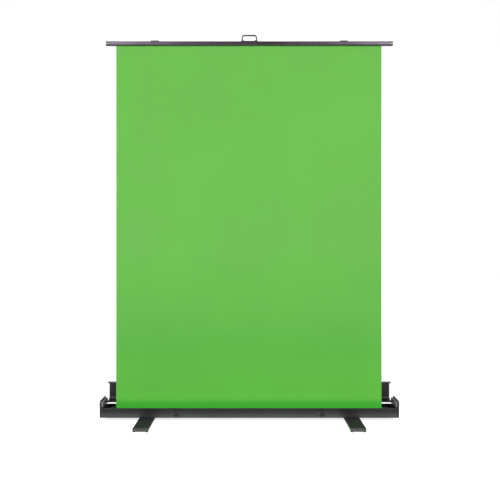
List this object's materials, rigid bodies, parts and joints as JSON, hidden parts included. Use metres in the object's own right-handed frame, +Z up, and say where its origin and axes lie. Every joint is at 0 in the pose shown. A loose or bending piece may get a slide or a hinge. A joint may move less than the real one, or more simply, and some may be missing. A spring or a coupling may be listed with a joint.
{
  "type": "collapsible backdrop panel",
  "caption": "Pull-up green backdrop: a fabric screen rises from a spring roller in a slim floor case with a hinged lid and swivel feet, held up by a scissor frame under a top bar.",
  "frame": {"origin": "floor centre under the case: middle of the bounding box in X and Y, on the plane of the foot pads", "axes": "+X along the case to the viewer's right, -Y out of the fabric's front face, +Z up"},
  "size_m": [1.645, 0.407, 2.1435],
  "materials": {
    "case_extrusion": "satin anodised, dark grey",
    "cap_plastic": "moulded, fine grain",
    "liner_grey": "plain",
    "zinc_steel": "zinc plated",
    "dark_steel": "powder coated",
    "spring_steel": "oiled",
    "lid_extrusion": "satin anodised, black grey",
    "seal_rubber": "soft",
    "roller_aluminium": "mill finish",
    "gas_spring_black": "gloss black",
    "rod_chrome": "ground and plated",
    "green_fabric": "matt woven polyester, chroma green",
    "foot_extrusion": "satin anodised, near black",
    "foot_cap_plastic": "moulded",
    "pad_rubber": "moulded",
    "arm_extrusion": "satin anodised, dark grey",
    "arm_casting": "cast, bead blasted",
    "bar_extrusion": "satin anodised, dark grey",
    "spline_plastic": "plain",
    "latch_black": "powder coated"
  },
  "bodies": {
    "base": {"base_tray": "case_extrusion", "end_cap_left": "cap_plastic", "end_cap_right": "cap_plastic", "cap_liner_left": "liner_grey", "cap_liner_right": "liner_grey", "end_cap_screws": "zinc_steel", "roller_bracket_left": "zinc_steel", "roller_bracket_right": "zinc_steel", "roller_arbor": "zinc_steel", "roller_spring": "spring_steel", "roller_pin": "zinc_steel", "arm_bracket_left": "dark_steel", "arm_bracket_right": "dark_steel", "base_pivot_bolts": "zinc_steel", "hinge_base_leaves": "dark_steel", "hinge_pins": "zinc_steel", "gas_cylinder_left": "gas_spring_black", "gas_cylinder_right": "gas_spring_black", "gas_bracket_left": "zinc_steel", "gas_bracket_right": "zinc_steel", "latch_plates": "dark_steel", "foot_pivot_bolts": "zinc_steel", "foot_pivot_nuts": "zinc_steel", "foot_washers": "cap_plastic", "fabric_panel": "green_fabric"},
    "lid": {"lid_shell": "lid_extrusion", "hinge_lid_leaves": "dark_steel", "lid_strikes": "zinc_steel", "lid_seal": "seal_rubber"},
    "roller": {"roller_tube": "roller_aluminium", "roller_plug_left": "cap_plastic", "roller_plug_right": "cap_plastic", "fabric_roll": "green_fabric"},
    "foot_left": {"foot_left": "foot_extrusion", "foot_left_caps": "foot_cap_plastic", "foot_left_pads": "pad_rubber"},
    "foot_right": {"foot_right": "foot_extrusion", "foot_right_caps": "foot_cap_plastic", "foot_right_pads": "pad_rubber"},
    "lower_arm_left": {"lower_arm_left": "arm_extrusion", "lower_arm_left_fittings": "arm_casting"},
    "upper_arm_left": {"upper_arm_left": "arm_extrusion", "upper_arm_left_fittings": "arm_casting"},
    "lower_arm_right": {"lower_arm_right": "arm_extrusion", "lower_arm_right_fittings": "arm_casting"},
    "upper_arm_right": {"upper_arm_right": "arm_extrusion", "upper_arm_right_fittings": "arm_casting"},
    "top_bar": {"top_bar": "bar_extrusion", "bar_end_plugs": "cap_plastic", "bar_bracket_left": "dark_steel", "bar_bracket_right": "dark_steel", "fabric_spline": "spline_plastic", "handle_bracket": "dark_steel"},
    "handle": {"handle_bail": "dark_steel"},
    "gas_rod_left": {"gas_rod_left": "rod_chrome"},
    "gas_rod_right": {"gas_rod_right": "rod_chrome"},
    "latch_lever_left": {"latch_lever_left": "latch_black"},
    "latch_lever_right": {"latch_lever_right": "latch_black"},
    "latch_claw_left": {"latch_claw_left": "latch_black"},
    "latch_claw_right": {"latch_claw_right": "latch_black"}
  },
  "joints": [
    {"name": "frame_fold", "type": "hinge", "parent": "base", "child": "lower_arm_left", "pos_m": [-0.526, 0.00975, 0.07], "axis": [0, 1, 0], "range_deg": [0, 62.47], "deforming": ["fabric_panel"]},
    {"name": "left_elbow", "type": "hinge", "parent": "lower_arm_left", "child": "upper_arm_left", "pos_m": [-0.01211, 0.01875, 1.082], "axis": [0, 1, 0], "range_deg": [-124.96, 0]},
    {"name": "bar_level", "type": "hinge", "parent": "upper_arm_left", "child": "top_bar", "pos_m": [-0.526, 0.01875, 2.094], "axis": [0, 1, 0], "range_deg": [0, 62.48]},
    {"name": "right_frame_fold", "type": "hinge", "parent": "base", "child": "lower_arm_right", "pos_m": [0.526, 0.04075, 0.07], "axis": [0, 1, 0], "range_deg": [-62.48, 0]},
    {"name": "right_elbow", "type": "hinge", "parent": "lower_arm_right", "child": "upper_arm_right", "pos_m": [0.01211, 0.03175, 1.082], "axis": [0, 1, 0], "range_deg": [0, 124.96]},
    {"name": "left_gas_spring", "type": "slide", "parent": "base", "child": "gas_rod_left", "axis": [-1, 0, 0], "range_m": [0, 0.0291]},
    {"name": "right_gas_spring", "type": "slide", "parent": "base", "child": "gas_rod_right", "axis": [1, 0, 0], "range_m": [0, 0.0291]},
    {"name": "roller_spin", "type": "hinge", "parent": "base", "child": "roller", "pos_m": [0, -0.0225, 0.049], "axis": [-1, 0, 0], "range_deg": [0, 5832.85]},
    {"name": "lid_hinge", "type": "hinge", "parent": "base", "child": "lid", "pos_m": [0, 0.056, 0.0765], "axis": [1, 0, 0], "range_deg": [0, 4]},
    {"name": "left_foot_swivel", "type": "hinge", "parent": "base", "child": "foot_left", "pos_m": [-0.565, 0, 0.0126], "axis": [0, 0, 1], "range_deg": [0, 90]},
    {"name": "right_foot_swivel", "type": "hinge", "parent": "base", "child": "foot_right", "pos_m": [0.565, 0, 0.0126], "axis": [0, 0, -1], "range_deg": [0, 90]},
    {"name": "handle_hinge", "type": "hinge", "parent": "top_bar", "child": "handle", "pos_m": [0, -0.0064, 2.10925], "axis": [1, 0, 0], "range_deg": [0, 90]},
    {"name": "left_latch_lever", "type": "hinge", "parent": "base", "child": "latch_lever_left", "pos_m": [-0.4, -0.0561, 0.0575], "axis": [-1, 0, 0], "range_deg": [0, 100]},
    {"name": "right_latch_lever", "type": "hinge", "parent": "base", "child": "latch_lever_right", "pos_m": [0.4, -0.0561, 0.0575], "axis": [-1, 0, 0], "range_deg": [0, 100]},
    {"name": "left_latch_claw", "type": "hinge", "parent": "latch_lever_left", "child": "latch_claw_left", "pos_m": [-0.4, -0.0561, 0.0495], "axis": [-1, 0, 0], "range_deg": [0, 150]},
    {"name": "right_latch_claw", "type": "hinge", "parent": "latch_lever_right", "child": "latch_claw_right", "pos_m": [0.4, -0.0561, 0.0495], "axis": [-1, 0, 0], "range_deg": [0, 150]}
  ],
  "couplings": [
    {"joint": "left_elbow", "follows": "frame_fold", "ratio": -2},
    {"joint": "bar_level", "follows": "frame_fold", "ratio": 1},
    {"joint": "right_frame_fold", "follows": "frame_fold", "ratio": -1},
    {"joint": "right_elbow", "follows": "frame_fold", "ratio": 2},
    {"joint": "left_gas_spring", "follows": "frame_fold", "m_per_rad": 0.026633},
    {"joint": "right_gas_spring", "follows": "frame_fold", "m_per_rad": 0.026633},
    {"joint": "roller_spin", "follows": "frame_fold", "ratio": 93.35}
  ]
}
